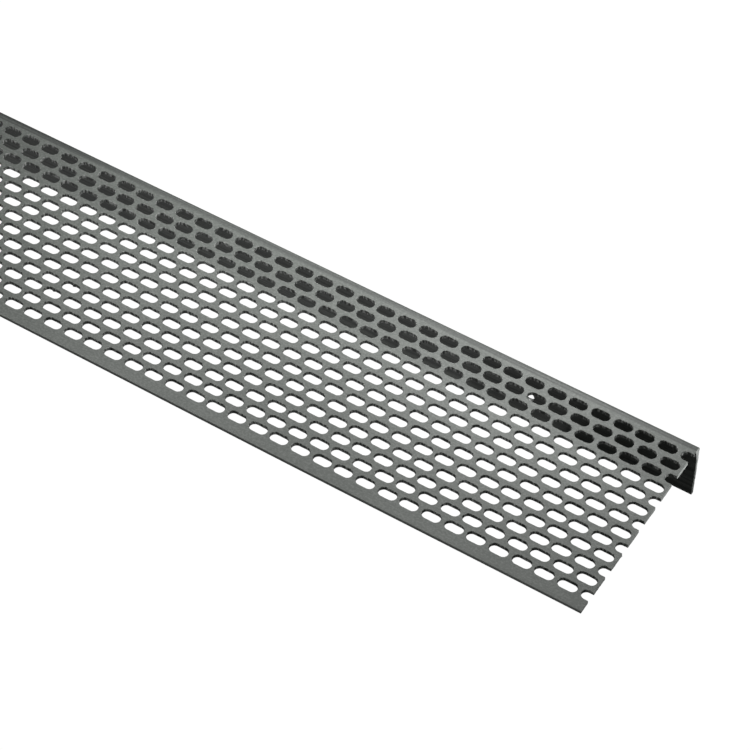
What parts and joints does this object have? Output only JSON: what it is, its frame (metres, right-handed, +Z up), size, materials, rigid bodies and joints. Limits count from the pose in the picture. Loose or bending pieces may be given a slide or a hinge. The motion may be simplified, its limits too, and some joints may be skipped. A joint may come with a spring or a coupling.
{
  "type": "angled vent strip",
  "caption": "Angle section with a wide flange of staggered round-ended slots and a narrow plain flange with a nail hole.",
  "frame": {"origin": "on the back face of the plain flange, at mid-length and at the middle of its height", "axes": "+X along the strip, +Y out of the back face towards the wall, +Z up, out of the top face of the slotted flange"},
  "size_m": [0.4036, 0.1, 0.0316],
  "materials": {
    "rigid_pvc": "matte"
  },
  "bodies": {
    "root": {"vent_strip": "rigid_pvc"}
  },
  "joints": []
}
